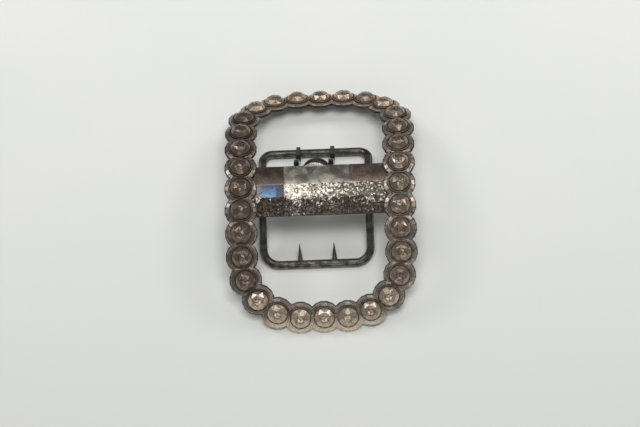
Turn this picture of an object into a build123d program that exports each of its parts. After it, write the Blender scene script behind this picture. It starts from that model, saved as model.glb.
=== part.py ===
from build123d import *
from math import atan2, cos, degrees, hypot, pi, radians, sin
import os

# Arched shoe buckle, in millimetres. It stands on z = 0 by the two end rows of its frame.
# X runs across the buckle, along the spindle; Y runs along the arch; +Y is the end of the tines.

# frame: a rounded rectangle of studs, bent over an arch whose axis lies along X
# past END_SLOPE, in degrees, the arch runs straight down to its ends
ARCH_R = 48.5
END_SLOPE = 40
STUD_COUNT = 32
STUD_PITCH = 7.0
HALF_WIDTH = 23.4
CORNER_R = 17.2

# setting of one stud: a flat disc with cut bevels round a collar
DISC_SIDES = 16
DISC_R = 4.75
DISC_THICK = 1.2
BEVEL_DROP = 0.5
COLLAR_R = 3.45
COLLAR_WALL = 0.3
COLLAR_RISE = 0.4
CUP_DEPTH = 0.2

# stud: faceted head, shank through the disc, rivet head behind
STUD_R = 3.03
GIRDLE_RISE = 0.5
STUD_RISE = 2.15
TABLE_R = 0.85
STAR_R = 2.1
STAR_RISE = 1.65
SHANK_R = 0.8
RIVET_R = 1.4
RIVET_THICK = 0.45
TURN_STEP = 37

# side plates under the middle of the frame's long sides
PLATE_THICK = 0.9
PLATE_FAR = 7.3
PLATE_NEAR = 8.7
PLATE_TAIL_X = 27.0
PLATE_TAIL_HALF = 4.8
PLATE_STEP_X = 20.8
EAR_X = 20.0
EAR_THICK = 1.2
EAR_HALF = 2.6

# spindle and what turns on it
SPINDLE_R = 0.9
SPINDLE_DEPTH = 9.0
SPINDLE_HEAD_R = 1.5
SPINDLE_HEAD_THICK = 0.6
HINGE_X = -1.8
RUNNING_FIT = 0.08

# strap loop: one round steel bar, bent over the spindle
LOOP_HALF = 15.9
LOOP_BAR_R = 1.2
LOOP_FAR = 18.8
LOOP_NEAR = 17.5
LOOP_LIFT = 0.3
FAR_CORNER_R = 3.2
NEAR_CORNER_R = 4.6
EYE_R = 2.2
EYE_WIDE = 2.6
SPIKE_HALF = 5.1
SPIKE_R = 0.95
SPIKE_LONG = 6.3
SPIKE_RISE = 40

# tongue: a broad sheet over the spindle, with two tines and a thumb tab
SHEET_LEFT = 8.8
SHEET_RIGHT = 10.4
SHEET_GAP = 0.12
TINE_HALF = 5.1
TINE_ROOT = 1.2
TINE_ROOT_WIDE = 1.7
TINE_TIP_WIDE = 1.2
TINE_TIP_Y = 20.1
TINE_THICK = 0.9
TINE_STEEP = 70
TINE_END_R = 4.0
TINE_GAP = 0.12
TAB_HALF = 3.9
TAB_REACH = 2.4
TONGUE_EAR_THICK = 1.0
NOTCH_DEPTH = 0.4
NOTCH_WIDE = 1.7

GAP = 0.05

# derived sizes
HALF_LENGTH = (STUD_PITCH * STUD_COUNT + (8 - 2 * pi) * CORNER_R) / 4 - HALF_WIDTH
END_LEAN = radians(END_SLOPE)
END_RUN = HALF_LENGTH - ARCH_R * END_LEAN
TOP_Z = ARCH_R * (1 - cos(END_LEAN)) + (END_RUN + DISC_R) * sin(END_LEAN) + DISC_THICK * cos(END_LEAN)
ARCH_Z = TOP_Z - ARCH_R
PLATE_R = ARCH_R - DISC_THICK - GAP
SPINDLE_Z = TOP_Z - SPINDLE_DEPTH
BAR_Z = LOOP_LIFT + LOOP_BAR_R


def centre_line(distance):
    """Point of the unrolled centre line, measured from the far middle over the left side."""
    half_turn = STUD_PITCH * STUD_COUNT / 2
    right_side = distance > half_turn
    along = 2 * half_turn - distance if right_side else distance
    near_half = along > half_turn / 2
    along = half_turn - along if near_half else along
    straight = HALF_WIDTH - CORNER_R
    bend = CORNER_R * pi / 2
    if along <= straight:
        x, y = -along, HALF_LENGTH
    elif along <= straight + bend:
        turn = (along - straight) / CORNER_R
        x = -straight - CORNER_R * sin(turn)
        y = HALF_LENGTH - CORNER_R + CORNER_R * cos(turn)
    else:
        x, y = -HALF_WIDTH, HALF_LENGTH - CORNER_R - (along - straight - bend)
    return (-x if right_side else x), (-y if near_half else y)


def seat(index):
    """Plane of one stud's setting, on the arch, with its normal outwards."""
    x, along = centre_line(index * STUD_PITCH)
    lean = max(-END_LEAN, min(END_LEAN, along / ARCH_R))
    run = along - lean * ARCH_R
    return Plane(
        origin=(
            x,
            ARCH_R * sin(lean) + run * cos(lean),
            ARCH_Z + ARCH_R * cos(lean) - run * sin(lean),
        ),
        x_dir=(1, 0, 0),
        z_dir=(0, sin(lean), cos(lean)),
    )


def regular(radius, sides, turn=0.0):
    """Corners of a regular outline of which the radius is to the corners."""
    return [
        (radius * cos(radians(turn) + 2 * pi * k / sides), radius * sin(radians(turn) + 2 * pi * k / sides))
        for k in range(sides)
    ]


def polyhedron(points, faces):
    """Solid from corner points and lists of their numbers."""
    sides = [Face(Wire.make_polygon([Vector(*points[n]) for n in face], close=True)) for face in faces]
    return Solid(Shell(sides))


def setting():
    """One disc with its bevels, collar and cup, before the shank's hole is drilled."""
    to_corner = 1 / cos(pi / DISC_SIDES)
    half_side = 180 / DISC_SIDES
    outer = regular(DISC_R * to_corner, DISC_SIDES, half_side)
    inner = regular(COLLAR_R * to_corner, DISC_SIDES, half_side)
    count = DISC_SIDES
    points = [(x, y, -DISC_THICK) for x, y in outer]
    points += [(x, y, -BEVEL_DROP) for x, y in outer]
    points += [(x, y, 0.0) for x, y in inner]
    faces = [list(reversed(range(count))), list(range(2 * count, 3 * count))]
    for k in range(count):
        following = (k + 1) % count
        faces.append([k, following, count + following, count + k])
        faces.append([count + k, count + following, 2 * count + following, 2 * count + k])
    disc = polyhedron(points, faces)
    collar = Pos(0, 0, -BEVEL_DROP) * extrude(Circle(COLLAR_R), COLLAR_RISE + BEVEL_DROP)
    cup = Pos(0, 0, -CUP_DEPTH) * extrude(Circle(COLLAR_R - COLLAR_WALL), COLLAR_RISE + 2 * CUP_DEPTH)
    return disc + collar, cup


def stud(backing):
    """Cut head over a shank that is riveted behind the backing."""
    points = [(x, y, -CUP_DEPTH + GAP) for x, y in regular(STUD_R, 12)]
    points += [(x, y, GIRDLE_RISE) for x, y in regular(STUD_R, 12)]
    points += [(x, y, STAR_RISE) for x, y in regular(STAR_R, 6, 30)]
    points += [(x, y, STUD_RISE) for x, y in regular(TABLE_R, 6)]
    faces = [list(reversed(range(12))), list(range(30, 36))]
    for k in range(12):
        faces.append([k, (k + 1) % 12, 12 + (k + 1) % 12, 12 + k])
    for k in range(6):
        star, previous_star = 24 + k, 24 + (k + 5) % 6
        table, next_table = 30 + k, 30 + (k + 1) % 6
        left, middle, right = 12 + 2 * k, 13 + 2 * k, 12 + (2 * k + 2) % 12
        faces += [[left, middle, star], [middle, right, star], [previous_star, left, star]]
        faces += [[table, star, next_table], [table, previous_star, star]]
    head = polyhedron(points, faces)
    shank = Pos(0, 0, -backing - GAP) * extrude(Circle(SHANK_R), backing + GAP)
    rivet = Pos(0, 0, -backing - GAP - RIVET_THICK) * extrude(Circle(RIVET_R), RIVET_THICK)
    return head + shank + rivet


def ribbon(start, heading, steps, thick):
    """Flat strip in Y and Z, below the line that starts at a point and runs through the steps.

    A step is (length, 0) for a straight run or (radius, turn) for a bend, turn in degrees.
    """
    edges = []
    point, angle = Vector(*start), radians(heading)
    upper, lower = [point], [point + thick * Vector(sin(angle), -cos(angle))]
    shapes = []
    for size, turn in steps:
        if turn == 0:
            point = point + size * Vector(cos(angle), sin(angle))
            shapes.append(None)
        else:
            side = 1 if turn > 0 else -1
            centre = point + side * size * Vector(-sin(angle), cos(angle))
            middle = angle + radians(turn) / 2
            angle += radians(turn)
            arm = [side * Vector(sin(a), -cos(a)) for a in (middle, angle)]
            shapes.append((centre + size * arm[0], centre + (size + side * thick) * arm[0]))
            point = centre + size * arm[1]
        upper.append(point)
        lower.append(point + thick * Vector(sin(angle), -cos(angle)))
    for row, points in enumerate((upper, lower)):
        for k, bend in enumerate(shapes):
            if bend is None:
                edges.append(Line(points[k], points[k + 1]))
            else:
                edges.append(ThreePointArc(points[k], bend[row], points[k + 1]))
    edges += [Line(upper[0], lower[0]), Line(upper[-1], lower[-1])]
    return make_face(edges)


def across(face, x_from, x_to):
    """Extrude a face drawn in Y and Z from one X to another."""
    plane = Plane(origin=(x_from, 0, 0), x_dir=(0, 1, 0), z_dir=(1, 0, 0))
    return extrude(plane * face, x_to - x_from)


def arched_sheet(x_from, x_to, near, far, thick):
    """Sheet bent to the arch, its top just under the discs."""
    near_angle, far_angle = -near / PLATE_R, far / PLATE_R
    start = (PLATE_R * sin(near_angle), ARCH_Z + PLATE_R * cos(near_angle))
    strip = ribbon(start, -degrees(near_angle), [(PLATE_R, degrees(near_angle - far_angle))], thick)
    return across(strip, x_from, x_to)


def ear(x_from, x_to, bore):
    """Hanging ear between the sheet and the spindle, rounded round its bore."""
    rise = TOP_Z - DISC_THICK - GAP - PLATE_THICK / 2 - SPINDLE_Z
    web = Pos(0, SPINDLE_Z + rise / 2) * Rectangle(2 * EAR_HALF, rise)
    end = Pos(0, SPINDLE_Z) * Circle(EAR_HALF)
    hole = Pos(0, SPINDLE_Z) * Circle(bore)
    return across(web + end - hole, x_from, x_to)


def side_plate(side):
    """Plate on one side: under the discs it narrows to a tail that the middle stud rivets."""
    sheet_end = HINGE_X + SHEET_RIGHT if side > 0 else -(HINGE_X - SHEET_LEFT)
    inner = sheet_end + SHEET_GAP
    spans = ((inner, PLATE_STEP_X, PLATE_NEAR, PLATE_FAR),
             (PLATE_STEP_X - GAP, PLATE_TAIL_X, PLATE_TAIL_HALF, PLATE_TAIL_HALF))
    plate = None
    for x_from, x_to, near, far in spans:
        ends = sorted((side * x_from, side * x_to))
        sheet = arched_sheet(ends[0], ends[1], near, far, PLATE_THICK)
        plate = sheet if plate is None else plate + sheet
    plate += ear(side * EAR_X - EAR_THICK / 2, side * EAR_X + EAR_THICK / 2, SPINDLE_R + GAP)
    drill = Pos(side * HALF_WIDTH, 0, TOP_Z - 5) * extrude(Circle(SHANK_R + GAP), 6)
    return plate - drill


def spindle():
    """Steel pin through every ear, headed outside the side plates."""
    reach = EAR_X + EAR_THICK / 2 + GAP
    pin = Circle(SPINDLE_R)
    head = Circle(SPINDLE_HEAD_R)
    axis = Plane(origin=(0, 0, SPINDLE_Z), x_dir=(0, 1, 0), z_dir=(1, 0, 0))
    bar = extrude(axis * pin, reach, both=True)
    for x_from in (reach, -reach - SPINDLE_HEAD_THICK):
        bar += extrude(axis.offset(x_from) * head, SPINDLE_HEAD_THICK)
    return bar


def half_loop(reach, corner, side):
    """Half of the strap loop: two legs and the end bar, in a plane that slopes to the ground."""
    drop = SPINDLE_Z - BAR_Z
    long = hypot(reach, drop)
    slope = atan2(drop, reach)
    plane = Plane(
        origin=(HINGE_X, 0, SPINDLE_Z),
        x_dir=(1, 0, 0),
        z_dir=(0, side * sin(slope), cos(slope)),
    )
    path = FilletPolyline(
        (-LOOP_HALF, 0), (-LOOP_HALF, side * long), (LOOP_HALF, side * long), (LOOP_HALF, 0),
        radius=corner,
    )
    line = plane * path
    section = Plane(origin=line @ 0, z_dir=line % 0) * Circle(LOOP_BAR_R)
    return sweep(section, path=line)


def strap_loop():
    """Bar loop with its eyes, two spikes on the near bar and two rests for the tines."""
    loop = half_loop(LOOP_FAR, FAR_CORNER_R, 1) + half_loop(LOOP_NEAR, NEAR_CORNER_R, -1)
    axis = Plane(origin=(HINGE_X, 0, SPINDLE_Z), x_dir=(0, 1, 0), z_dir=(1, 0, 0))
    for x in (-LOOP_HALF, LOOP_HALF):
        loop += extrude(axis.offset(x - EYE_WIDE / 2) * Circle(EYE_R), EYE_WIDE)
        loop -= extrude(axis.offset(x - EYE_WIDE) * Circle(SPINDLE_R + RUNNING_FIT), 2 * EYE_WIDE)
    rise = radians(SPIKE_RISE)
    for x in (-SPIKE_HALF, SPIKE_HALF):
        root = Plane(origin=(HINGE_X + x, -LOOP_NEAR, BAR_Z), x_dir=(1, 0, 0),
                     z_dir=(0, cos(rise), sin(rise)))
        loop += root * Pos(0, 0, SPIKE_LONG / 2) * Cone(SPIKE_R, 0.1, SPIKE_LONG)
    for x in (-TINE_HALF, TINE_HALF):
        top = BAR_Z + LOOP_BAR_R
        loop -= Pos(HINGE_X + x, LOOP_FAR, top) * Box(NOTCH_WIDE, 4 * LOOP_BAR_R, 2 * NOTCH_DEPTH)
    return loop


def tine_steps(slope, start_y, start_z):
    """Bend, run, bend and run that take a tine from the sheet down to its rest on the far bar."""
    steep = radians(TINE_STEEP)
    rest_z = BAR_Z + LOOP_BAR_R - NOTCH_DEPTH + TINE_GAP + TINE_THICK
    end_run = TINE_TIP_Y - LOOP_FAR + LOOP_BAR_R
    forward = TINE_TIP_Y - end_run - TINE_END_R * sin(steep) - start_y
    down = start_z - rest_z - TINE_END_R * (1 - cos(steep))
    bend_forward, bend_down = sin(steep) - sin(slope), cos(slope) - cos(steep)
    share = bend_forward * sin(steep) - bend_down * cos(steep)
    bend_r = (forward * sin(steep) - down * cos(steep)) / share
    run = (bend_forward * down - bend_down * forward) / share
    return [(bend_r, degrees(slope) - TINE_STEEP), (run, 0), (TINE_END_R, TINE_STEEP), (end_run, 0)]


def tongue():
    """Broad sheet, two tines, thumb tab and the two ears that turn on the spindle."""
    left, right = HINGE_X - SHEET_LEFT, HINGE_X + SHEET_RIGHT
    body = arched_sheet(left, right, PLATE_NEAR, PLATE_FAR, PLATE_THICK)
    far_slope = PLATE_FAR / PLATE_R
    edge_y, edge_z = PLATE_R * sin(far_slope), ARCH_Z + PLATE_R * cos(far_slope)
    root_slope = (PLATE_FAR - TINE_ROOT) / PLATE_R
    root = (PLATE_R * sin(root_slope), ARCH_Z + PLATE_R * cos(root_slope))
    steps = [(PLATE_R, degrees(root_slope - far_slope))] + tine_steps(far_slope, edge_y, edge_z)
    strip = ribbon(root, -degrees(root_slope), steps, TINE_THICK)
    outline = Polygon(
        (-TINE_ROOT_WIDE / 2, 0), (TINE_ROOT_WIDE / 2, 0),
        (TINE_TIP_WIDE / 2, TINE_TIP_Y + 1), (-TINE_TIP_WIDE / 2, TINE_TIP_Y + 1), align=None,
    )
    for x in (HINGE_X - TINE_HALF, HINGE_X + TINE_HALF):
        tine = across(strip, x - TINE_ROOT_WIDE, x + TINE_ROOT_WIDE)
        body += tine & (Pos(x, 0, 0) * extrude(outline, TOP_Z))
    tab_r = (TAB_HALF ** 2 + TAB_REACH ** 2) / (2 * TAB_REACH)
    tab = Pos(0, TAB_REACH - tab_r) * Circle(tab_r) & Pos(0, TAB_REACH / 2) * Rectangle(
        2 * TAB_HALF, TAB_REACH + 2 * TINE_ROOT)
    body += Pos((left + right) / 2, edge_y, edge_z - PLATE_THICK) * extrude(tab, PLATE_THICK)
    for x_from in (left, right - TONGUE_EAR_THICK):
        body += ear(x_from, x_from + TONGUE_EAR_THICK, SPINDLE_R + RUNNING_FIT)
    return body


def frame_ring():
    """All the settings as one soldered ring, with a cup and a shank hole at each stud."""
    disc, cup = setting()
    hole = Pos(0, 0, -2 * DISC_THICK) * extrude(Circle(SHANK_R + GAP), 3 * DISC_THICK)
    discs = [seat(k) * disc for k in range(STUD_COUNT)]
    cuts = [seat(k) * (cup + hole) for k in range(STUD_COUNT)]
    return discs[0].fuse(*discs[1:]).cut(*cuts)


nodes = {
    "frame_ring": frame_ring(),
    "side_plate_left": side_plate(-1),
    "side_plate_right": side_plate(1),
    "spindle": spindle(),
    "strap_loop": strap_loop(),
    "tongue": tongue(),
}
plain_stud = stud(DISC_THICK)
long_stud = stud(DISC_THICK + GAP + PLATE_THICK)
for number in range(STUD_COUNT):
    riveted_plate = abs(seat(number).origin.Y) < 1
    head = long_stud if riveted_plate else plain_stud
    nodes[f"stud_{number + 1:02d}"] = seat(number) * Rot(0, 0, number * TURN_STEP) * head

os.makedirs("parts", exist_ok=True)
for name, shape in nodes.items():
    export_step(shape, f"parts/{name}.step")
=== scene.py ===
import math

import bmesh
import bpy
from mathutils import Matrix, Vector


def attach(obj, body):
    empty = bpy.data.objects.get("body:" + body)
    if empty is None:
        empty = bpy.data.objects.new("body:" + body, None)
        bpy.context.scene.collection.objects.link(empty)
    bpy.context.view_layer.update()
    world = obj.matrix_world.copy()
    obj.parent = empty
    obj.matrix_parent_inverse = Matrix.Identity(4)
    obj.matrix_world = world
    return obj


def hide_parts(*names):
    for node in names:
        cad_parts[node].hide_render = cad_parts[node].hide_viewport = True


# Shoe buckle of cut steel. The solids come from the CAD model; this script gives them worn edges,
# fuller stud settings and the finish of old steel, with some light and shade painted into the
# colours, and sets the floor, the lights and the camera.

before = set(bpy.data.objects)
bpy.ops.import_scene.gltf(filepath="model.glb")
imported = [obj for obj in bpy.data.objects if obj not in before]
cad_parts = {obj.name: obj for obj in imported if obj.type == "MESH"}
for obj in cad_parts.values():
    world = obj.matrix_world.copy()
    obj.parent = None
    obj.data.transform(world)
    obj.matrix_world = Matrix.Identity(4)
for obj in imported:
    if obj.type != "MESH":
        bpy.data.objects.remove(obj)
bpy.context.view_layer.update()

MM = 0.001

# sizes of the frame, as in the CAD model, in millimetres
ARCH_R = 48.5
END_SLOPE = 40
STUD_COUNT = 32
STUD_PITCH = 7.0
HALF_WIDTH = 23.4
CORNER_R = 17.2
DISC_SIDES = 16
DISC_R = 4.75
DISC_THICK = 1.2
BEVEL_DROP = 0.5
RIM_R = 4.42
RIM_DROP = 0.42
COLLAR_R = 3.45
COLLAR_WALL = 0.3
COLLAR_RISE = 0.4
CUP_DEPTH = 0.2
STUD_R = 3.03
GIRDLE_RISE = 0.5
STUD_RISE = 2.15
CROWN_R = 1.05
CROWN_SLOPE = 0.16
STAR_R = 2.1
STAR_RISE = 1.65
SHANK_R = 0.8
RIVET_R = 1.4
RIVET_THICK = 0.45
PLATE_THICK = 0.9
TURN_STEP = 37
PLATE_FAR = 7.3
HINGE_X = -1.8
SHEET_LEFT = 8.8
SHEET_RIGHT = 10.4
SHEET_GAP = 0.12
TAB_X = -1.0
TAB_HALF = 3.9
TAB_REACH = 2.4
GAP = 0.05

# small forms that the solids leave out, in millimetres
LIP_R = 0.34
RIM_GROOVE = 0.02
RIM_OUTER_SHOULDER = 0.05
RIM_INNER_SHOULDER = 0.06
FOOT_WIDE = 0.15
FOOT_DROP = 0.1
FOOT_GROOVE = 0.12

# how far wear rounds the edges, in millimetres
SETTING_WEAR = 0.07
STUD_WEAR = 0.09
SHEET_WEAR = 0.04
BAR_WEAR = 0.1

# angles in degrees from which an edge is worn round, and from which it still looks crisp
WORN_FROM = 30
SETTING_CRISP = 16
SHEET_CRISP = 20
BAR_CRISP = 35
TURNED_CRISP = 50

# the plates' inner ends are drawn this much closer to the tongue's sheet than in the solids
SEAM_CLOSED = 0.09

PLATE_R = ARCH_R - DISC_THICK - GAP
TAB_CURVE = (TAB_HALF ** 2 + TAB_REACH ** 2) / (2 * TAB_REACH)
HALF_LENGTH = (STUD_PITCH * STUD_COUNT + (8 - 2 * math.pi) * CORNER_R) / 4 - HALF_WIDTH
END_LEAN = math.radians(END_SLOPE)
END_RUN = HALF_LENGTH - ARCH_R * END_LEAN
TOP_Z = (ARCH_R * (1 - math.cos(END_LEAN)) + (END_RUN + DISC_R) * math.sin(END_LEAN)
         + DISC_THICK * math.cos(END_LEAN))
SEAMS = (HINGE_X - SHEET_LEFT - SHEET_GAP / 2, HINGE_X + SHEET_RIGHT + SHEET_GAP / 2)
CUP_R = COLLAR_R - COLLAR_WALL

# edges of the zones on the plates, measured along Y: dark beyond the first, rusted before the
# second, and polished between them; the rust's ragged edge wanders along Y by the third, and
# the straight edge of a tempered plate lies off by the fourth
BAND_EDGE = 1.3
RUST_EDGE = -3.0
RUST_WANDER = 4.4
RUST_SHIFT = 1.6

# place and radius of the painted highlight on the face of the tongue's thumb tab
TAB_HIGHLIGHT_SPOT = (TAB_X - 0.6, 3.9, TOP_Z - 1.8)
TAB_HIGHLIGHT_R = 4.4

# where a colour starts to change and where the change is complete, in millimetres: along Y for the
# ends and the middle of the frame, along X for its left side and for the marks on the plates
FAR_END = (25.0, 33.0)
FILED_MIDDLE = (17.0, 11.0)
DARK_RIMS = (-36.5, -34.0)
STUDS_PALE_FROM = -29.0
SETTINGS_PALE_FROM = -34.5
LEFT_SIDE = (-14.0, -22.0)
VIOLET_LEFT = (-18.4, -16.4)
VIOLET_RIGHT = (-13.2, -12.6)
SCARRED_SIDE = (-8.0, 14.0)

# one unit of the UV map of a setting or a stud, in millimetres
UV_SIZE = 10.0

# camera: angles of the view, distance and the place of the frame in the picture
VIEW_ELEVATION = 65.7
VIEW_AZIMUTH = 5.4
VIEW_ROLL = -7.0
VIEW_DISTANCE = 1000
VIEW_SIDEWAYS = 0.09
VIEW_DOWN = -8.4
FOCAL_PIXELS = 3400
PICTURE_WIDTH = 640
SENSOR_WIDTH = 36


def add(tree, kind, inputs=None, **settings):
    """One node with its settings. An input takes a value or a link from another node's socket."""
    node = tree.nodes.new(kind)
    for name, value in settings.items():
        setattr(node, name, value)
    for key, value in (inputs or {}).items():
        if isinstance(value, bpy.types.NodeSocket):
            tree.links.new(value, node.inputs[key])
        else:
            node.inputs[key].default_value = value
    return node


def hex_colour(code):
    """Linear colour from an sRGB hex code."""
    parts = [int(code[k:k + 2], 16) / 255 for k in (1, 3, 5)]
    linear = [c / 12.92 if c <= 0.04045 else ((c + 0.055) / 1.055) ** 2.4 for c in parts]
    return (*linear, 1.0)


# shapes

def centre_line(distance):
    """Point of the unrolled centre line, measured from the far middle over the left side."""
    half_turn = STUD_PITCH * STUD_COUNT / 2
    right_side = distance > half_turn
    along = 2 * half_turn - distance if right_side else distance
    near_half = along > half_turn / 2
    along = half_turn - along if near_half else along
    straight = HALF_WIDTH - CORNER_R
    bend = CORNER_R * math.pi / 2
    if along <= straight:
        x, y = -along, HALF_LENGTH
    elif along <= straight + bend:
        turn = (along - straight) / CORNER_R
        x = -straight - CORNER_R * math.sin(turn)
        y = HALF_LENGTH - CORNER_R + CORNER_R * math.cos(turn)
    else:
        x, y = -HALF_WIDTH, HALF_LENGTH - CORNER_R - (along - straight - bend)
    return (-x if right_side else x), (-y if near_half else y)


def seat(index, sunk=0.0):
    """Place and lean of one stud's setting on the arch; sunk is how far below the top it lies."""
    x, along = centre_line(index * STUD_PITCH)
    lean = max(-END_LEAN, min(END_LEAN, along / ARCH_R))
    run = along - lean * ARCH_R
    reach = ARCH_R - sunk
    place = (x, reach * math.sin(lean) + run * math.cos(lean),
             TOP_Z - ARCH_R + reach * math.cos(lean) - run * math.sin(lean))
    return Vector(place) * MM, (-lean, 0.0, 0.0)


def put(name, data):
    """New object in the scene, at the origin."""
    piece = bpy.data.objects.new(name, data)
    bpy.context.collection.objects.link(piece)
    return piece


def to_mesh(shape, name):
    """Mesh from a finished shape, which is then freed."""
    mesh = bpy.data.meshes.new(name)
    shape.to_mesh(mesh)
    shape.free()
    return mesh


def soften(mesh, angle):
    """Smooth shading, with edges sharper than the angle in degrees kept crisp."""
    shape = bmesh.new()
    shape.from_mesh(mesh)
    for face in shape.faces:
        face.smooth = True
    for edge in shape.edges:
        edge.smooth = (len(edge.link_faces) == 2 and not edge.seam
                       and edge.calc_face_angle(0) < math.radians(angle))
    shape.to_mesh(mesh)
    shape.free()


def local_uv(shape):
    """UV map that holds each point's X and Y in the piece's own frame."""
    layer = shape.loops.layers.uv.new("UVMap")
    for face in shape.faces:
        for loop in face.loops:
            spot = loop.vert.co / (UV_SIZE * MM)
            loop[layer].uv = (spot.x + 0.5, spot.y + 0.5)


def lathe(name, rings, steps, sides):
    """Closed turned piece. A ring is (radius, height, sided): sided rings follow a polygon. The
    edges along its corners are marked as seams, which soften keeps crisp."""
    shape = bmesh.new()
    rows = []
    for radius, height, sided in rings:
        row = []
        for k in range(steps):
            angle = 2 * math.pi * k / steps
            reach = radius
            if sided:
                side = 2 * math.pi / sides
                reach = radius / math.cos((angle + side / 2) % side - side / 2)
            point = Vector((reach * math.cos(angle), reach * math.sin(angle), height))
            row.append(shape.verts.new(point * MM))
        rows.append(row)
    for lower, upper in zip(rows, rows[1:] + rows[:1]):
        for k in range(steps):
            ahead = (k + 1) % steps
            shape.faces.new((lower[k], lower[ahead], upper[ahead], upper[k]))
    corners = range(steps // sides // 2, steps, steps // sides)
    for k in corners:
        for (_, _, below), (_, _, above), lower, upper in zip(rings, rings[1:], rows, rows[1:]):
            if below and above:
                shape.edges.get((lower[k], upper[k])).seam = True
    bmesh.ops.recalc_face_normals(shape, faces=shape.faces)
    local_uv(shape)
    return to_mesh(shape, name)


def setting_mesh():
    """Disc with cut bevels, collar with a rounded lip, cup and shank hole."""
    worn = SETTING_WEAR
    lip = COLLAR_WALL / 3
    top = COLLAR_RISE
    bore = SHANK_R + GAP
    rings = [
        (bore, -DISC_THICK, False),
        (DISC_R - worn, -DISC_THICK, True),
        (DISC_R, -DISC_THICK + worn, True),
        (DISC_R, -BEVEL_DROP, True),
        (DISC_R - worn, -RIM_DROP, True),
        (RIM_R + worn, -RIM_DROP + RIM_OUTER_SHOULDER, True),
        (RIM_R, -RIM_DROP - RIM_GROOVE, True),
        (RIM_R - worn, -RIM_DROP + RIM_INNER_SHOULDER, True),
        (COLLAR_R + FOOT_WIDE, -FOOT_DROP, True),
        (COLLAR_R, -FOOT_GROOVE, False),
        (COLLAR_R, top - lip, False),
        (COLLAR_R - lip * 0.4, top - lip * 0.3, False),
        (COLLAR_R - lip, top, False),
        (CUP_R + lip, top, False),
        (CUP_R + lip * 0.4, top - lip * 0.3, False),
        (CUP_R, top - lip, False),
        (CUP_R, -CUP_DEPTH, False),
        (bore, -CUP_DEPTH, False),
    ]
    mesh = lathe("setting", rings, 4 * DISC_SIDES, DISC_SIDES)
    soften(mesh, SETTING_CRISP)
    return mesh


def regular(radius, sides, height, turn=0.0):
    """Corners of a regular outline at one height."""
    return [
        Vector((radius * math.cos(a), radius * math.sin(a), height)) * MM
        for a in (math.radians(turn) + 2 * math.pi * k / sides for k in range(sides))
    ]


def stud_mesh():
    """Cut head of one stud: girdle, a row of long facets, a ring of stars and three top facets
    that meet at the middle, all with worn edges."""
    corners = regular(STUD_R, 12, -CUP_DEPTH + GAP) + regular(STUD_R, 12, GIRDLE_RISE)
    corners += regular(STAR_R, 6, STAR_RISE, 30)
    for k, point in enumerate(regular(CROWN_R, 6, 0)):
        drop = CROWN_SLOPE * CROWN_R * (0.5 if k % 2 else 1.0)
        corners.append(Vector((point.x, point.y, (STUD_RISE - drop) * MM)))
    corners.append(Vector((0, 0, STUD_RISE * MM)))
    # number of the first corner of each ring, after the 12 at the foot
    girdle, stars, crowns, apex = 12, 24, 30, 36
    faces = [list(reversed(range(girdle)))]
    for k in (0, 2, 4):
        faces.append([apex, crowns + k + 1, crowns + k, crowns + (k + 5) % 6])
    for k in range(12):
        ahead = (k + 1) % 12
        faces.append([k, ahead, girdle + ahead, girdle + k])
    for k in range(6):
        star, previous_star = stars + k, stars + (k + 5) % 6
        crown, next_crown = crowns + k, crowns + (k + 1) % 6
        left, middle, right = (girdle + (2 * k + step) % 12 for step in range(3))
        faces += [[left, middle, star], [middle, right, star], [previous_star, left, star]]
        faces += [[crown, star, next_crown], [crown, previous_star, star]]
    shape = bmesh.new()
    points = [shape.verts.new(corner) for corner in corners]
    for face in faces:
        shape.faces.new([points[n] for n in face])
    ridge = shape.faces.layers.float.new("ridge")
    worn = bmesh.ops.bevel(shape, geom=shape.edges[:], offset=STUD_WEAR * MM, segments=2,
                           affect="EDGES", profile=0.5)
    for face in worn["faces"]:
        face[ridge] = 1.0
    bmesh.ops.recalc_face_normals(shape, faces=shape.faces)
    local_uv(shape)
    return to_mesh(shape, "stud")


def rivet_mesh():
    """Hammered rivet head behind a stud, slightly domed."""
    rings = [
        (0.02, 0.0, False),
        (0.02, -RIVET_THICK, False),
        (RIVET_R * 0.6, -RIVET_THICK * 0.96, False),
        (RIVET_R * 0.86, -RIVET_THICK * 0.75, False),
        (RIVET_R, -RIVET_THICK * 0.35, False),
        (RIVET_R, 0.0, False),
    ]
    mesh = lathe("rivet", rings, 20, 20)
    soften(mesh, TURNED_CRISP)
    return mesh


def thumb_lip():
    """Rolled lip round the edge of the tongue's thumb tab, closed and rounded at both ends."""
    slope = PLATE_FAR / PLATE_R
    edge_y = PLATE_R * math.sin(slope)
    edge_z = TOP_Z - ARCH_R + PLATE_R * math.cos(slope)
    middle = Vector((TAB_X, edge_y + TAB_REACH - TAB_CURVE, edge_z))
    spread = math.asin(TAB_HALF / TAB_CURVE)
    upward = Vector((0, 0, 1))
    steps, sides = 28, 10
    shape = bmesh.new()
    rows = []
    for k in range(steps + 1):
        turn = spread * (2 * k / steps - 1)
        outward = Vector((math.sin(turn), math.cos(turn), 0))
        taper = math.sqrt(max(0.0, 1 - abs(2 * k / steps - 1) ** 6))
        centre = middle + outward * (TAB_CURVE - LIP_R)
        radius = LIP_R * max(taper, 0.15)
        row = []
        for n in range(sides):
            angle = 2 * math.pi * n / sides
            way = outward * math.cos(angle) + upward * math.sin(angle)
            row.append(shape.verts.new((centre + radius * way) * MM))
        rows.append(row)
    for row, following in zip(rows, rows[1:]):
        for n in range(sides):
            ahead = (n + 1) % sides
            shape.faces.new((row[n], row[ahead], following[ahead], following[n]))
    shape.faces.new(rows[0])
    shape.faces.new(rows[-1])
    bmesh.ops.recalc_face_normals(shape, faces=shape.faces)
    mesh = to_mesh(shape, "thumb_lip")
    soften(mesh, TURNED_CRISP)
    return mesh


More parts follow.
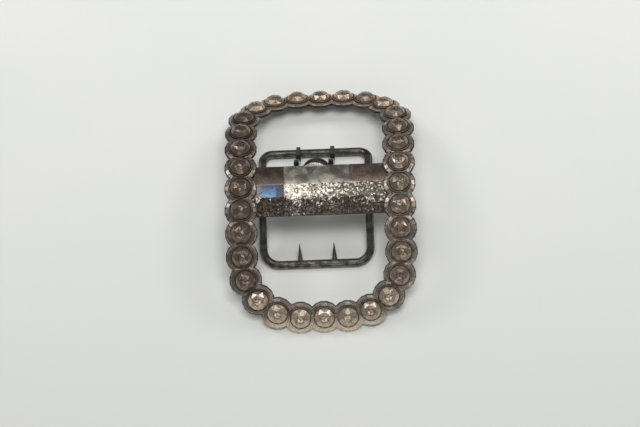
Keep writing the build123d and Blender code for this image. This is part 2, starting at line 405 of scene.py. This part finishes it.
def round_the_ring():
    """Geometry Nodes tree that sets one piece at every seat, turned by a step from seat to seat."""
    tree = bpy.data.node_groups.new("pieces_round_the_ring", "GeometryNodeTree")
    sockets = {}
    for name, kind, direction in (
        ("Seats", "NodeSocketGeometry", "INPUT"),
        ("Piece", "NodeSocketObject", "INPUT"),
        ("Turn step", "NodeSocketFloat", "INPUT"),
        ("Tone seed", "NodeSocketInt", "INPUT"),
        ("Finish", "NodeSocketMaterial", "INPUT"),
        ("Pieces", "NodeSocketGeometry", "OUTPUT"),
    ):
        socket = tree.interface.new_socket(name, in_out=direction, socket_type=kind)
        sockets[name] = socket.identifier
    given = add(tree, "NodeGroupInput").outputs
    piece = add(tree, "GeometryNodeObjectInfo", {"Object": given["Piece"]})
    lean = add(tree, "GeometryNodeInputNamedAttribute", {"Name": "lean"}, data_type="FLOAT_VECTOR")
    number = add(tree, "GeometryNodeInputIndex")
    turn = add(tree, "ShaderNodeMath", {0: number.outputs[0], 1: given["Turn step"]},
               operation="MULTIPLY")
    spin = add(tree, "ShaderNodeCombineXYZ", {"Z": turn.outputs[0]})
    placed = add(tree, "GeometryNodeInstanceOnPoints", {
        "Points": given["Seats"],
        "Instance": piece.outputs["Geometry"],
        "Rotation": lean.outputs["Attribute"],
    })
    turned = add(tree, "GeometryNodeRotateInstances", {
        "Instances": placed.outputs[0], "Rotation": spin.outputs[0], "Local Space": True,
    })
    tone = add(tree, "FunctionNodeRandomValue", {
        "ID": number.outputs[0], "Seed": given["Tone seed"],
    }, data_type="FLOAT")
    toned = add(tree, "GeometryNodeStoreNamedAttribute", {
        "Geometry": turned.outputs[0], "Name": "tone", "Value": tone.outputs["Value"],
    }, data_type="FLOAT", domain="INSTANCE")
    solid = add(tree, "GeometryNodeRealizeInstances", {"Geometry": toned.outputs[0]})
    finished = add(tree, "GeometryNodeSetMaterial", {
        "Geometry": solid.outputs[0], "Material": given["Finish"],
    })
    add(tree, "NodeGroupOutput", {0: finished.outputs[0]})
    return tree, sockets


def set_round(name, mesh, seats, finish, turn_step=0.0, seed=1):
    """A plain mesh object with the piece at every seat."""
    tree, sockets = ring_tree
    points = bpy.data.meshes.new(name + "_seats")
    points.from_pydata([place for place, _ in seats], [], [])
    lean = points.attributes.new("lean", "FLOAT_VECTOR", "POINT")
    for row, (_, angles) in zip(lean.data, seats):
        row.vector = angles
    carrier = put(name + "_seats", points)
    piece = put(name + "_piece", mesh)
    modifier = carrier.modifiers.new("ring", "NODES")
    modifier.node_group = tree
    modifier[sockets["Piece"]] = piece
    modifier[sockets["Turn step"]] = math.radians(turn_step)
    modifier[sockets["Tone seed"]] = seed
    modifier[sockets["Finish"]] = finish
    graph = bpy.context.evaluated_depsgraph_get()
    made = bpy.data.meshes.new_from_object(carrier.evaluated_get(graph))
    for helper in (carrier, piece):
        bpy.data.objects.remove(helper)
    return put(name, made)


def worked_copy(name, finish, worn, crisp):
    """Copy of a CAD piece with its edges rounded by wear, except along the seams between the plates
    and the tongue's sheet, which show as fine lines."""
    shape = bmesh.new()
    shape.from_mesh(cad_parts[name].data)
    bmesh.ops.transform(shape, matrix=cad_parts[name].matrix_world, verts=shape.verts)
    bmesh.ops.remove_doubles(shape, verts=shape.verts, dist=0.004 * MM)
    bmesh.ops.dissolve_limit(shape, angle_limit=math.radians(0.5), verts=shape.verts,
                             edges=shape.edges, delimit={"NORMAL"})
    if "plate" in name:
        inner = min(abs(v.co.x) for v in shape.verts)
        for vert in shape.verts:
            if abs(vert.co.x) < inner + 0.01 * MM:
                vert.co.x *= 1 - SEAM_CLOSED * MM / inner
    covered = {v for v in shape.verts if any(abs(v.co.x - seam * MM) < 0.1 * MM for seam in SEAMS)}
    sharp = [e for e in shape.edges if len(e.link_faces) == 2
             and e.calc_face_angle(0) > math.radians(WORN_FROM)
             and not covered.issuperset(e.verts)]
    bmesh.ops.bevel(shape, geom=sharp, offset=worn * MM, segments=2, affect="EDGES", profile=0.5,
                    clamp_overlap=True)
    bmesh.ops.triangulate(shape, faces=[f for f in shape.faces if len(f.verts) > 4])
    mesh = to_mesh(shape, name + "_worked")
    soften(mesh, crisp)
    mesh.materials.append(finish)
    return put(name + "_worked", mesh)


# finishes

def new_material(name):
    """Empty material; returns it and its node tree."""
    material = bpy.data.materials.new(name)
    material.use_nodes = True
    material.node_tree.nodes.clear()
    return material, material.node_tree


def place_mm(tree):
    """Object coordinates in millimetres."""
    where = add(tree, "ShaderNodeTexCoord")
    return add(tree, "ShaderNodeVectorMath", {0: where.outputs["Object"], "Scale": 1 / MM},
               operation="SCALE").outputs[0]


def patches(tree, place, size, detail=4.0, rough=0.6):
    """Uneven field from 0 to 1 whose patches are about size millimetres across."""
    return add(tree, "ShaderNodeTexNoise", {
        "Vector": place, "Scale": 1 / size, "Detail": detail, "Roughness": rough,
    }).outputs[0]


def zone(tree, value, outside, inside, least=0.0, most=1.0, smooth=True):
    """Share that goes from least to most while the value goes from outside to inside."""
    return add(tree, "ShaderNodeMapRange", {
        "Value": value, "From Min": outside, "From Max": inside, "To Min": least, "To Max": most,
    }, interpolation_type="SMOOTHSTEP" if smooth else "LINEAR").outputs[0]


def chain(tree, operation, shares):
    """Shares put together one after another. Sums and differences stay between 0 and 1."""
    result = shares[0]
    for share in shares[1:]:
        result = add(tree, "ShaderNodeMath", {0: result, 1: share}, operation=operation,
                     use_clamp=operation in ("ADD", "SUBTRACT")).outputs[0]
    return result


def where_all(tree, *shares):
    """Full only where all the shares are."""
    return chain(tree, "MULTIPLY", shares)


def where_any(tree, *shares):
    """Full where any of the shares is."""
    return chain(tree, "MAXIMUM", shares)


def together(tree, *shares):
    """Shares added up."""
    return chain(tree, "ADD", shares)


def apart_from(tree, share, *others):
    """A share with others taken away."""
    return chain(tree, "SUBTRACT", (share, *others))


def between(tree, value, start, full, fading, end):
    """Full between full and fading, and nothing before start or after end."""
    return apart_from(tree, zone(tree, value, start, full), zone(tree, value, fading, end))


def stain(tree, metal, colour, share, strength=1.0):
    """Metal that takes another colour by the share, at most by the strength. Both colours are hex
    codes or links."""
    if strength != 1.0:
        share = where_all(tree, share, strength)
    ends = [hex_colour(end) if isinstance(end, str) else end for end in (metal, colour)]
    return add(tree, "ShaderNodeMix", {0: share, 6: ends[0], 7: ends[1]},
               data_type="RGBA").outputs[2]


def finish_metal(material, colour, roughness, height, depth, metallic=1.0):
    """Ends a metal's tree: shader and bump, whose depth is in millimetres."""
    tree = material.node_tree
    bump = add(tree, "ShaderNodeBump", {"Height": height, "Strength": 1.0, "Distance": depth * MM})
    shader = add(tree, "ShaderNodeBsdfPrincipled", {
        "Base Color": colour, "Roughness": roughness, "Metallic": metallic,
        "Normal": bump.outputs[0],
    })
    add(tree, "ShaderNodeOutputMaterial", {"Surface": shader.outputs[0]})
    return material


def from_middle(tree):
    """Place on a setting or a stud, measured from its middle, from the piece's own UV map."""
    spot = add(tree, "ShaderNodeUVMap", uv_map="UVMap")
    return add(tree, "ShaderNodeVectorMath", {0: spot.outputs[0], 1: (0.5, 0.5, 0.0)},
               operation="SUBTRACT").outputs[0]


def local_radius(tree):
    """Distance from the middle of a setting or a stud, in millimetres."""
    length = add(tree, "ShaderNodeVectorMath", {0: from_middle(tree)}, operation="LENGTH")
    return where_all(tree, length.outputs["Value"], UV_SIZE)


def file_cuts(tree):
    """1 along the filed lines that part the bevels of a disc."""
    axes = add(tree, "ShaderNodeSeparateXYZ", {0: from_middle(tree)}).outputs
    angle = add(tree, "ShaderNodeMath", {0: axes["Y"], 1: axes["X"]}, operation="ARCTAN2")
    step = add(tree, "ShaderNodeMath", {0: angle.outputs[0], 1: 2 * math.pi / DISC_SIDES},
               operation="DIVIDE")
    part = add(tree, "ShaderNodeMath", {0: step.outputs[0]}, operation="FRACT")
    side = add(tree, "ShaderNodeMath", {0: part.outputs[0], 1: 0.5}, operation="SUBTRACT")
    off_corner = add(tree, "ShaderNodeMath", {0: side.outputs[0]}, operation="ABSOLUTE")
    return zone(tree, off_corner.outputs[0], 0.16, 0.1)


def painted_light_by_place(tree, place, metal, pale_from, near_reflection):
    """Colour by place over the whole frame, all of it painted light and shade: pale at the near
    end, a painted reflection of the lit floor; lighter and warmer at the far end, painted light;
    and darkest along the left side, painted shade, as the light comes a little from the right."""
    spot = add(tree, "ShaderNodeSeparateXYZ", {0: place}).outputs
    near = zone(tree, spot["Y"], pale_from, pale_from - 3.0)
    far = zone(tree, spot["Y"], *FAR_END)
    side = apart_from(tree, 1.0, where_any(tree, near, far))
    left = where_all(tree, zone(tree, spot["X"], *LEFT_SIDE), side)
    # painted light and shade by place: the near end pale, a painted reflection of the lit floor;
    # the far end lighter and warmer; the left side darker, painted shade
    metal = stain(tree, metal, "#E6D5C0", near, near_reflection)
    metal = stain(tree, metal, "#BFA992", far, 0.5)
    return stain(tree, metal, "#685850", left, 0.62)


def tarnished_settings():
    """Pressed and filed steel, tarnished: a brown film with small pits and dark file cuts between
    the bevels of the middle discs, with painted shade in the groove at the collar's foot and in the
    cup round the stud, a pale line round the disc that is a painted highlight, and a dark outer
    edge that is partly painted shade and partly wear. The pits are drawn at 0.4 mm, coarser than
    real ones, so that they show."""
    material, tree = new_material("tarnished pressed steel")
    place = place_mm(tree)
    radius = local_radius(tree)
    spot = add(tree, "ShaderNodeSeparateXYZ", {0: place}).outputs
    film = zone(tree, patches(tree, place, 1.9, 4.0, 0.65), 0.35, 0.65)
    pits = patches(tree, place, 0.4, 4.0, 0.72)
    metal = painted_light_by_place(tree, place, stain(tree, "#ACA197", "#716862", film),
                          SETTINGS_PALE_FROM, 0.95)
    metal = stain(tree, metal, "#463D35", zone(tree, pits, 0.54, 0.64), 0.6)

    # painted shade: dark in the groove at the collar's foot and in the cup round the stud, and a
    # little dark on the collar's lip
    foot = between(tree, radius, COLLAR_R - 0.07, COLLAR_R + 0.01, COLLAR_R + 0.05, COLLAR_R + 0.19)
    cup = zone(tree, radius, CUP_R + 0.1, CUP_R)
    lip = between(tree, radius, CUP_R - 0.05, CUP_R + 0.05, COLLAR_R - 0.05, COLLAR_R + 0.05)
    hollow_shade = where_any(tree, foot, cup, where_all(tree, lip, 0.3))
    metal = stain(tree, metal, "#2A2220", hollow_shade, 0.85)

    # painted highlight: a pale line on the raised shoulder round the disc, broken up by patches
    line = between(tree, radius, RIM_R - 0.22, RIM_R - 0.14, RIM_R, RIM_R + 0.08)
    line = where_all(tree, line, zone(tree, patches(tree, place, 2.2), 0.4, 0.55))
    metal = stain(tree, metal, "#D9CFC2", line, 0.55)

    off_waist = add(tree, "ShaderNodeMath", {0: spot["Y"]}, operation="ABSOLUTE").outputs[0]
    cuts = where_all(tree, file_cuts(tree), zone(tree, radius, COLLAR_R + 0.25, COLLAR_R + 0.45),
                     zone(tree, off_waist, *FILED_MIDDLE, 0.12, 0.9),
                     zone(tree, patches(tree, place, 3.0), 0.36, 0.5))
    # dark outer edge of each disc, except at the near end: partly painted shade, partly a worn dark
    # edge; the file cuts with it are the steel's own marks
    rim_shade_and_wear = where_all(tree, zone(tree, radius, DISC_R - 0.21, DISC_R - 0.09),
                    zone(tree, spot["Y"], *DARK_RIMS))
    metal = stain(tree, metal, "#2A2422", where_any(tree, rim_shade_and_wear, cuts), 0.8)
    rough = where_any(tree, zone(tree, film, 0.0, 1.0, 0.2, 0.36), where_all(tree, lip, 0.6))
    return finish_metal(material, metal, rough, pits, 0.01, metallic=0.7)


def cut_studs():
    """Cut steel, once bright: facets dulled by a warm grey film, with brown freckles, scuffs worn
    to the metal and dark lines on the edges, and a dark ring at the girdle that is painted shade
    where the stud sits in its cup; light and shade painted by place lie over it all. The grain is
    drawn at 0.3 mm, coarser than the scratches of real polished steel, so that it shows."""
    material, tree = new_material("cut steel studs")
    place = place_mm(tree)
    radius = local_radius(tree)
    tone = add(tree, "ShaderNodeAttribute", attribute_name="tone").outputs["Fac"]
    ridge = add(tree, "ShaderNodeAttribute", attribute_name="ridge").outputs["Fac"]
    film = zone(tree, patches(tree, place, 1.1, 4.0, 0.65), 0.3, 0.7)
    metal = painted_light_by_place(tree, place, stain(tree, "#A69585", "#887A6D", film),
                          STUDS_PALE_FROM, 0.5)
    metal = stain(tree, metal, "#66564E", zone(tree, tone, 0.3, 1.0, 0.0, 0.35))
    freckles = zone(tree, patches(tree, place, 0.5, 4.0, 0.7), 0.53, 0.62)
    metal = stain(tree, metal, "#3D2F28", freckles, 0.22)

    kept = patches(tree, place, 1.6)
    scuffed = where_all(tree, ridge, zone(tree, kept, 0.42, 0.34))
    metal = stain(tree, metal, "#D9CFC4", scuffed, 0.6)
    by_the_top = zone(tree, radius, CROWN_R + 0.65, CROWN_R + 0.25, 0.35, 1.0)
    grime = where_all(tree, ridge, by_the_top, zone(tree, kept, 0.34, 0.46))
    # painted shade: a dark ring at the girdle's foot, where the stud sits in its cup; the dark
    # lines on the edges near the top are the steel's own
    girdle_shade_and_grime = where_any(tree, zone(tree, radius, STUD_R - 0.15, STUD_R), grime)
    metal = stain(tree, metal, "#241B18", girdle_shade_and_grime, 0.85)
    rough = zone(tree, film, 0.0, 1.0, 0.19, 0.3)
    return finish_metal(material, metal, rough, patches(tree, place, 0.3, 3.0, 0.7), 0.003,
                        metallic=0.7)


def hammered_back():
    """Forged steel rivet heads, hammered: dark with scale, and rough."""
    material, tree = new_material("forged steel rivets")
    place = place_mm(tree)
    film = zone(tree, patches(tree, place, 0.9), 0.35, 0.65)
    metal = stain(tree, "#7A7068", "#453A35", film)
    rough = zone(tree, film, 0.0, 1.0, 0.35, 0.55)
    return finish_metal(material, metal, rough, patches(tree, place, 0.3), 0.03)


def temper_colours(tree, spot, deep, bright, violet):
    """Blue of tempered steel, violet towards both ends, with painted highlights along its long
    edges.
    """
    blue = stain(tree, deep, bright, zone(tree, spot["Y"], BAND_EDGE, RUST_EDGE, smooth=False))
    blue = stain(tree, "#6C6266", blue, zone(tree, spot["X"], *VIOLET_LEFT))
    blue = stain(tree, blue, violet, zone(tree, spot["X"], *VIOLET_RIGHT))
    # painted highlights: pale lines along the blue band's long edges
    painted_edge_highlights = where_any(tree, zone(tree, spot["Y"], BAND_EDGE - 0.3, BAND_EDGE - 0.15),
                     zone(tree, spot["Y"], RUST_EDGE, RUST_EDGE - 0.15))
    return stain(tree, blue, "#A39297", painted_edge_highlights, 0.7)


def tab_highlight_and_shade(tree, place, spot, metal):
    """Thumb tab: painted shade beyond the sheet's edge, over the tines and the lip, with a painted
    highlight on its face inside the lip.
    """
    off = add(tree, "ShaderNodeVectorMath", {0: place, 1: TAB_HIGHLIGHT_SPOT},
              operation="DISTANCE").outputs["Value"]
    # painted highlight on the tab's face inside its lip, and painted shade on all that lies beyond
    # the sheet's edge
    tab_highlight = where_all(tree, zone(tree, spot["Y"], PLATE_FAR - 0.5, PLATE_FAR - 0.3),
                       zone(tree, off, TAB_HIGHLIGHT_R, TAB_HIGHLIGHT_R - 0.2))
    beyond = apart_from(tree, zone(tree, spot["Y"], PLATE_FAR - 0.1, PLATE_FAR + 0.1), tab_highlight)
    return stain(tree, stain(tree, metal, "#F1ECE2", tab_highlight), "#3B3934", beyond)


def pitted_plate(name, upper, band, film, lower, scarred, tempered=None, tab=False):
    """Rolled steel sheet, polished once: smooth towards the tines, where it is painted dark as
    painted shade, a polished band over the crown that is more and more scarred to the right, and
    pitted rust towards the spikes, with unrusted metal left between the pits. Tempered steel shows
    blue and violet in the band. The pits and flecks are drawn at 0.6 to 0.9 mm, coarser than most
    real ones, so that they show."""
    material, tree = new_material(name)
    place = place_mm(tree)
    spot = add(tree, "ShaderNodeSeparateXYZ", {0: place}).outputs
    cloud = zone(tree, patches(tree, place, 2.4, 4.0, 0.65), 0.35, 0.65)
    wander = RUST_SHIFT
    if not tempered:
        wander = where_all(tree, patches(tree, place, 2.6, 5.0, 0.65), RUST_WANDER)
    edge = add(tree, "ShaderNodeMath", {0: spot["Y"], 1: wander}, operation="ADD").outputs[0]
    rusted = zone(tree, edge, RUST_EDGE + 2.2, RUST_EDGE + 1.4)
    shaded = zone(tree, spot["Y"], BAND_EDGE - 0.3, BAND_EDGE + 0.4)

    metal = stain(tree, band, film, cloud)
    if tempered:
        metal = stain(tree, temper_colours(tree, spot, *tempered), film, cloud, 0.12)
    # painted shade: beyond the band's far edge the sheet takes a darker colour, mottled, towards
    # the tines
    upper_mottle = zone(tree, patches(tree, place, 2.8, 2.0, 0.5), 0.4, 0.62)
    shaded_upper = stain(tree, upper, "#544B45", upper_mottle, 0.6)
    if tab:
        shaded_upper = tab_highlight_and_shade(tree, place, spot, shaded_upper)
    metal = stain(tree, metal, shaded_upper, shaded)

    pits = patches(tree, place, 0.7, 5.0, 0.7)
    clusters = zone(tree, patches(tree, place, 4.5, 2.0, 0.5), 0.42, 0.6, -0.06, 0.05)
    by_the_band = zone(tree, edge, RUST_EDGE - 2.2, RUST_EDGE + 1.0, 0.0, 0.1, smooth=False)
    fleck_field = together(tree, patches(tree, place, 0.6, 3.0, 0.6), clusters, by_the_band)
    first_fleck = 0.67 if tempered else 0.635
    flecks = zone(tree, fleck_field, first_fleck, first_fleck + 0.04)
    rust = stain(tree, "#241E1A", lower, zone(tree, pits, 0.38, 0.6))
    metal = stain(tree, metal, stain(tree, rust, "#D8D2C9", flecks), rusted)

    to_right = zone(tree, spot["X"], *SCARRED_SIDE, 0.35 * scarred, scarred, smooth=False)
    scar_field = together(tree, patches(tree, place, 0.9, 5.0, 0.72), to_right)
    scars = apart_from(tree, zone(tree, scar_field, 0.6, 0.66), shaded)
    metal = stain(tree, metal, "#3A332D", scars, 0.8)

    dull = where_all(tree, zone(tree, flecks, 0.0, 1.0, 0.6, 0.3), rusted)
    polish = together(tree, zone(tree, cloud, 0.0, 1.0, 0.16, 0.28), where_all(tree, scars, 0.25))
    dents = where_all(tree, patches(tree, place, 4.0, 2.0, 0.5), 0.5)
    bite = where_all(tree, where_any(tree, rusted, scars), pits)
    return finish_metal(material, metal, where_any(tree, dull, polish),
                        together(tree, dents, bite), 0.04, metallic=0.85)


def dark_bar():
    """Drawn and forged steel bar, blackened: near black, with a low gloss where it was worn by
    rubbing. The forging's grain is drawn at 0.35 mm, about as coarse as it is."""
    material, tree = new_material("blackened steel bar")
    place = place_mm(tree)
    film = zone(tree, patches(tree, place, 1.8), 0.4, 0.62)
    metal = stain(tree, "#6C6A62", "#42403A", film)
    rough = zone(tree, film, 0.0, 1.0, 0.16, 0.32)
    return finish_metal(material, metal, rough, patches(tree, place, 0.35, 3.0, 0.7), 0.012,
                        metallic=0.7)


def paper_floor():
    """Matt white paper: even, with a faint mottle, and painted shade that makes it a little darker
    towards the viewer. Its fibres are too fine to show, so the mottle is drawn at 40 mm."""
    material, tree = new_material("matt paper")
    place = place_mm(tree)
    spot = add(tree, "ShaderNodeSeparateXYZ", {0: place}).outputs
    mottle = zone(tree, patches(tree, place, 40.0, 3.0, 0.5), 0.3, 0.7)
    # painted shade: a little darker towards the viewer
    towards_viewer = zone(tree, spot["Y"], 70.0, -70.0, smooth=False)
    colour = stain(tree, stain(tree, "#DEE0DE", "#E1E2E0", mottle), "#CACCC8", towards_viewer)
    shader = add(tree, "ShaderNodeBsdfPrincipled", {"Base Color": colour, "Roughness": 0.9})
    add(tree, "ShaderNodeOutputMaterial", {"Surface": shader.outputs[0]})
    return material


# the buckle

ring_tree = round_the_ring()
seats = [seat(k) for k in range(STUD_COUNT)]
settings = set_round("settings", setting_mesh(), seats, tarnished_settings())
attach(settings, "root")
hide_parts("frame_ring")

studs = set_round("studs", stud_mesh(), seats, cut_studs(), TURN_STEP, 4)

# the two middle studs also go through the side plates, so their rivet heads lie lower
rivet_seats = []
for number, (stud_place, _) in enumerate(seats):
    through_plate = GAP + PLATE_THICK if abs(stud_place.y) < MM else 0
    rivet_seats.append(seat(number, DISC_THICK + GAP + through_plate))
rivets = set_round("rivets", rivet_mesh(), rivet_seats, hammered_back(), TURN_STEP, 9)
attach(studs, "root")
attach(rivets, "root")
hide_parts(*[f"stud_{n + 1:02d}" for n in range(STUD_COUNT)])

left_finish = pitted_plate("tempered steel plate", "#6E6056", "#9C948A", "#6C6560", "#5E5249",
                           0.0, ("#3A4660", "#6288A4", "#44465C"))
right_finish = pitted_plate("pitted steel plate", "#827368", "#D2CABC", "#8F867B", "#756961",
                            0.16)
tongue_finish = pitted_plate("pitted steel tongue", "#B2AFA5", "#D3CDC2", "#A39A8A", "#776D65",
                             0.18, tab=True)
bar_finish = dark_bar()
for node, finish, worn, crisp, material_slot, body in (
    ("side_plate_left", left_finish, SHEET_WEAR, SHEET_CRISP, "plate_metal", "root"),
    ("side_plate_right", right_finish, SHEET_WEAR, SHEET_CRISP, "plate_metal", "root"),
    ("spindle", bar_finish, BAR_WEAR, BAR_CRISP, "loop_steel", "root"),
    ("strap_loop", bar_finish, BAR_WEAR, BAR_CRISP, "loop_steel", "strap_loop"),
    ("tongue", tongue_finish, SHEET_WEAR, SHEET_CRISP, "tongue_steel", "tongue"),
):
    piece = worked_copy(node, finish, worn, crisp)
    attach(piece, body)
    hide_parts(node)

lip_mesh = thumb_lip()
lip_mesh.materials.append(tongue_finish)
lip = put("thumb_lip", lip_mesh)
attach(lip, "tongue")


# floor, lights and camera

def area_light(name, elevation, azimuth, distance, wide, deep, radiance, colour, mirrored):
    """Soft box at a direction from the buckle, turned to face it. Azimuth 0 is the viewer's side
    and 90 is the right. Radiance is how bright the box looks, where the metal mirrors it."""
    lean, turn = math.radians(elevation), math.radians(azimuth)
    way = Vector((math.sin(turn) * math.cos(lean), -math.cos(turn) * math.cos(lean),
                  math.sin(lean)))
    data = bpy.data.lights.new(name, "AREA")
    data.shape = "RECTANGLE"
    data.size, data.size_y = wide, deep
    data.energy = radiance * math.pi * wide * deep
    data.color = colour
    box = put(name, data)
    box.location = way * distance
    box.rotation_mode = "QUATERNION"
    box.rotation_quaternion = way.to_track_quat("Z", "Y")
    box.visible_glossy = mirrored


floor_mesh = bpy.data.meshes.new("floor")
floor_mesh.from_pydata([(-2, -2, 0), (2, -2, 0), (2, 2, 0), (-2, 2, 0)], [], [(0, 1, 2, 3)])
floor_mesh.materials.append(paper_floor())
floor = put("floor", floor_mesh)

# One box overhead throws the shadows. Most of its light is as if polarised: it lights the metal and
# the paper but leaves no mirror image, which would burn out the facets.
for row in (
    # name, elevation, azimuth, distance, wide, deep, radiance, colour, mirrored
    ("overhead box", 81.5, 27, 1.2, 0.55, 0.35, 2.8, (1.0, 0.995, 0.98), True),
    ("overhead box, polarised", 81.5, 27, 1.2, 0.55, 0.35, 12.1, (1.0, 0.995, 0.98), False),
    ("back strip", 69.0, 180, 1.2, 2.6, 0.28, 2.2, (1.0, 0.99, 0.98), True),
    ("front box", 30.0, 0, 1.5, 1.6, 0.8, 1.25, (1.0, 0.98, 0.95), True),
    ("left box", 42.0, 236, 1.2, 0.24, 0.24, 8.0, (1.0, 0.99, 0.98), True),
    ("right box", 42.0, 124, 1.2, 0.24, 0.24, 8.0, (1.0, 0.99, 0.98), True),
):
    area_light(*row)

world = bpy.data.worlds.new("studio")
world.use_nodes = True
world.node_tree.nodes.clear()
sky = add(world.node_tree, "ShaderNodeBackground", {
    "Color": hex_colour("#C9CBCC"), "Strength": 0.2,
})
add(world.node_tree, "ShaderNodeOutputWorld", {"Surface": sky.outputs[0]})
bpy.context.scene.world = world
bpy.context.scene.view_settings.view_transform = "Standard"

elevation, azimuth, roll = (math.radians(a) for a in (VIEW_ELEVATION, VIEW_AZIMUTH, VIEW_ROLL))
back = Vector((math.sin(azimuth) * math.cos(elevation), -math.cos(azimuth) * math.cos(elevation),
               math.sin(elevation)))
level = Vector((math.cos(azimuth), math.sin(azimuth), 0))
upward = back.cross(level)
right = level * math.cos(roll) + upward * math.sin(roll)
up = upward * math.cos(roll) - level * math.sin(roll)
camera = put("camera", bpy.data.cameras.new("camera"))
camera.data.sensor_width = SENSOR_WIDTH
camera.data.lens = FOCAL_PIXELS * SENSOR_WIDTH / PICTURE_WIDTH
camera.data.clip_start, camera.data.clip_end = 0.01, 10
target = Vector((0, 0, TOP_Z)) + right * VIEW_SIDEWAYS + up * VIEW_DOWN
camera.location = (target + back * VIEW_DISTANCE) * MM
camera.rotation_mode = "QUATERNION"
camera.rotation_quaternion = Matrix((right, up, back)).transposed().to_quaternion()
bpy.context.scene.camera = camera
